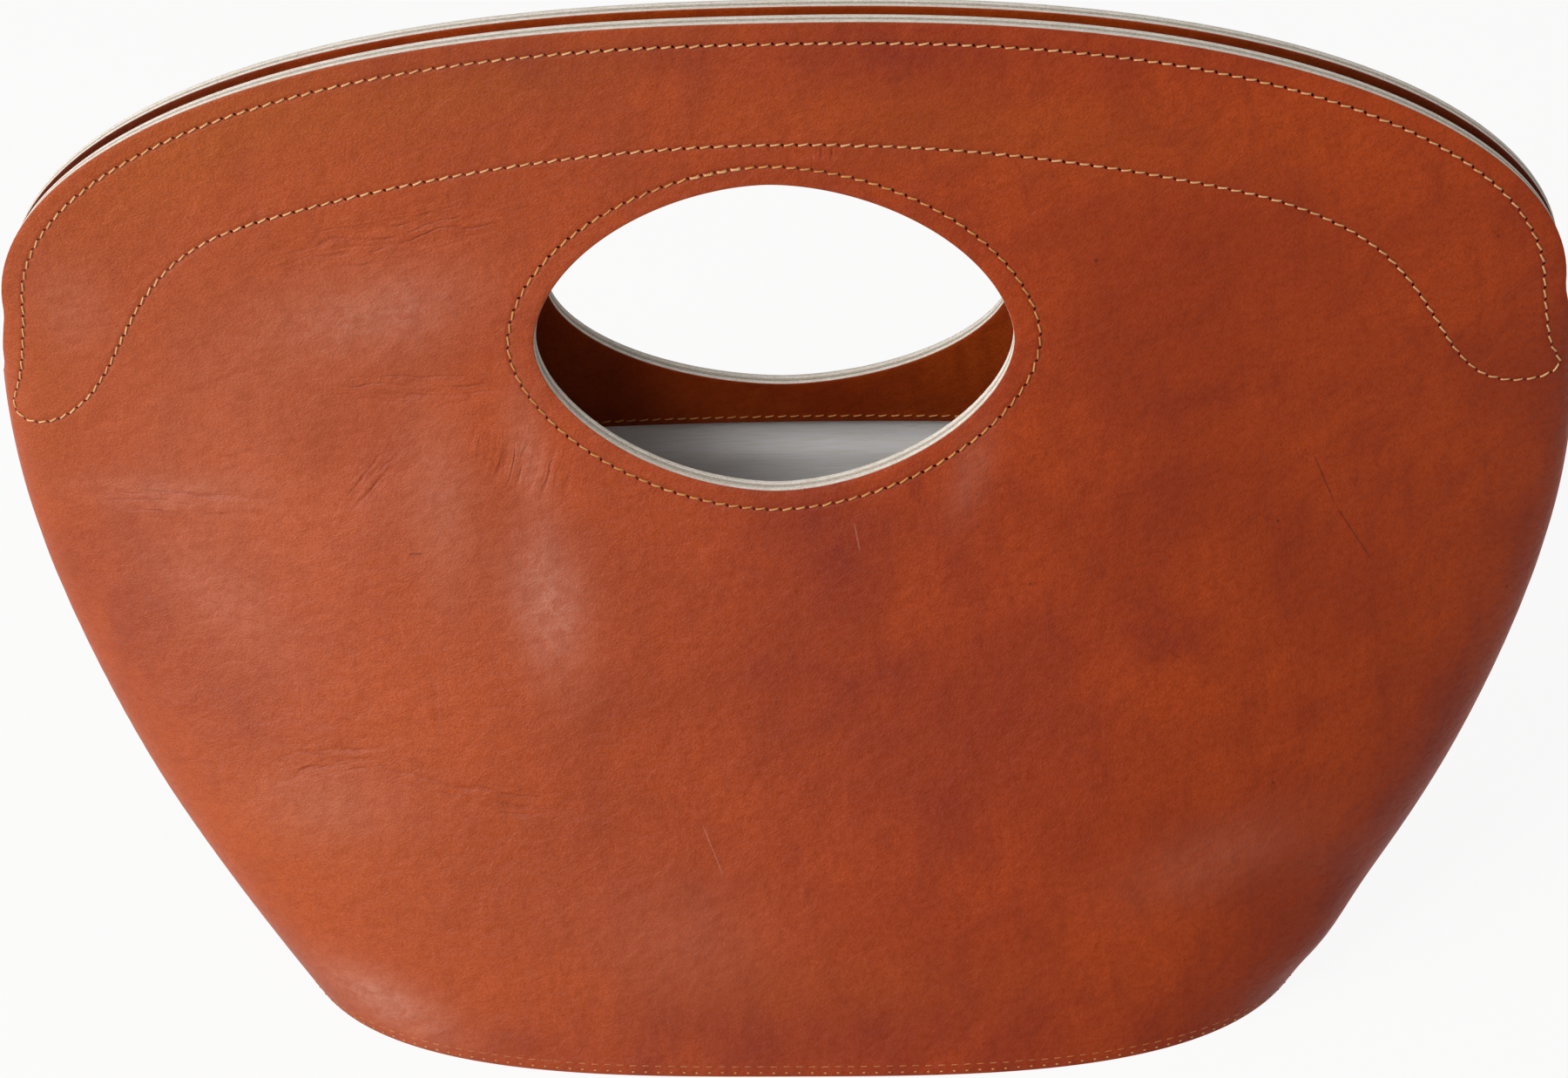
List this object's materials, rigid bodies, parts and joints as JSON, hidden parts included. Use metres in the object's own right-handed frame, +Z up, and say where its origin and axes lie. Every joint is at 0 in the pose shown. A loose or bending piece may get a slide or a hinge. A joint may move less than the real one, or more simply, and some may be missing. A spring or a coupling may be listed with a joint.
{
  "type": "leather carrying bag",
  "caption": "Oval-based leather carrying bag that widens to a narrow arched mouth, with a lens-shaped hand hole cut through each flap.",
  "frame": {"origin": "centre of the base, on the surface that the bag stands on", "axes": "+X along the bag, to the right as seen from the front; +Y to the back flap; +Z up"},
  "size_m": [0.43, 0.1846, 0.2825],
  "materials": {
    "tan_leather": "vegetable-tanned, natural grain, satin",
    "facing_leather": "vegetable-tanned, darker, satin",
    "leather_board": "bonded leather fibre board, matt",
    "cotton_lining": "plain woven cotton"
  },
  "bodies": {
    "bag_body": {"front_panel_lower": "tan_leather", "back_panel_lower": "tan_leather", "front_facing_lower": "facing_leather", "back_facing_lower": "facing_leather", "front_hole_ring_lower": "leather_board", "back_hole_ring_lower": "leather_board", "front_lining": "cotton_lining", "back_lining": "cotton_lining", "base_panel": "tan_leather", "base_welt": "facing_leather", "base_board": "leather_board", "base_lining": "cotton_lining", "left_seam_tape": "facing_leather", "right_seam_tape": "facing_leather"},
    "front_flap": {"front_panel_flap": "tan_leather", "front_facing_flap": "facing_leather", "front_hole_ring_upper": "leather_board", "front_flap_band": "leather_board"},
    "back_flap": {"back_panel_flap": "tan_leather", "back_facing_flap": "facing_leather", "back_hole_ring_upper": "leather_board", "back_flap_band": "leather_board"}
  },
  "joints": [
    {"name": "front_flap_fold", "type": "hinge", "parent": "bag_body", "child": "front_flap", "pos_m": [0, -0.02268, 0.181], "axis": [1, 0, 0], "range_deg": [0, 20], "stiffness_Nm_per_rad": 0.1},
    {"name": "back_flap_fold", "type": "hinge", "parent": "bag_body", "child": "back_flap", "pos_m": [0, 0.02268, 0.181], "axis": [-1, 0, 0], "range_deg": [0, 20], "stiffness_Nm_per_rad": 0.1}
  ]
}
